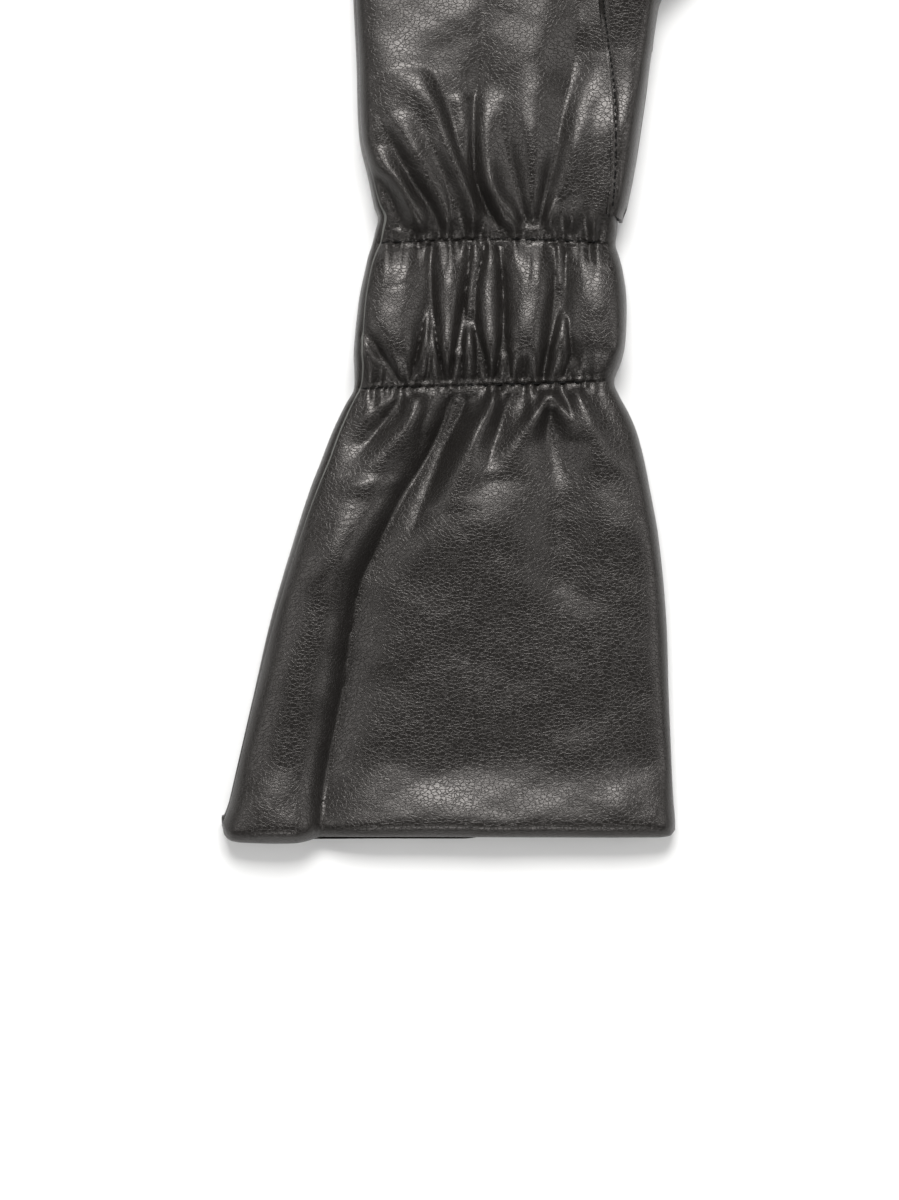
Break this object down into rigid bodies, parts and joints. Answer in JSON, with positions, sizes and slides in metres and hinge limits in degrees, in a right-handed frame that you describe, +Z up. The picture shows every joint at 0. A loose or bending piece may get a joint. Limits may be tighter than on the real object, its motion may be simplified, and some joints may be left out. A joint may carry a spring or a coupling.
{
  "type": "gauntlet glove",
  "caption": "Leather dress glove with a flared gauntlet cuff, a shirred wrist band and a lapped thumb tongue, lying on one side and hollow to the fingertips.",
  "frame": {"origin": "on the surface that the glove lies on, under the middle of its outline seen from above", "axes": "+X towards the thumb, +Y towards the fingertips, +Z up from the surface to the side that shows"},
  "size_m": [0.1624, 0.372, 0.0193],
  "materials": {
    "black_leather": "very dark, slightly warm grey-black nappa with a fine grain and a soft satin sheen"
  },
  "bodies": {
    "root": {"front_panel": "black_leather", "rear_panel": "black_leather", "thumb": "black_leather"}
  },
  "joints": []
}
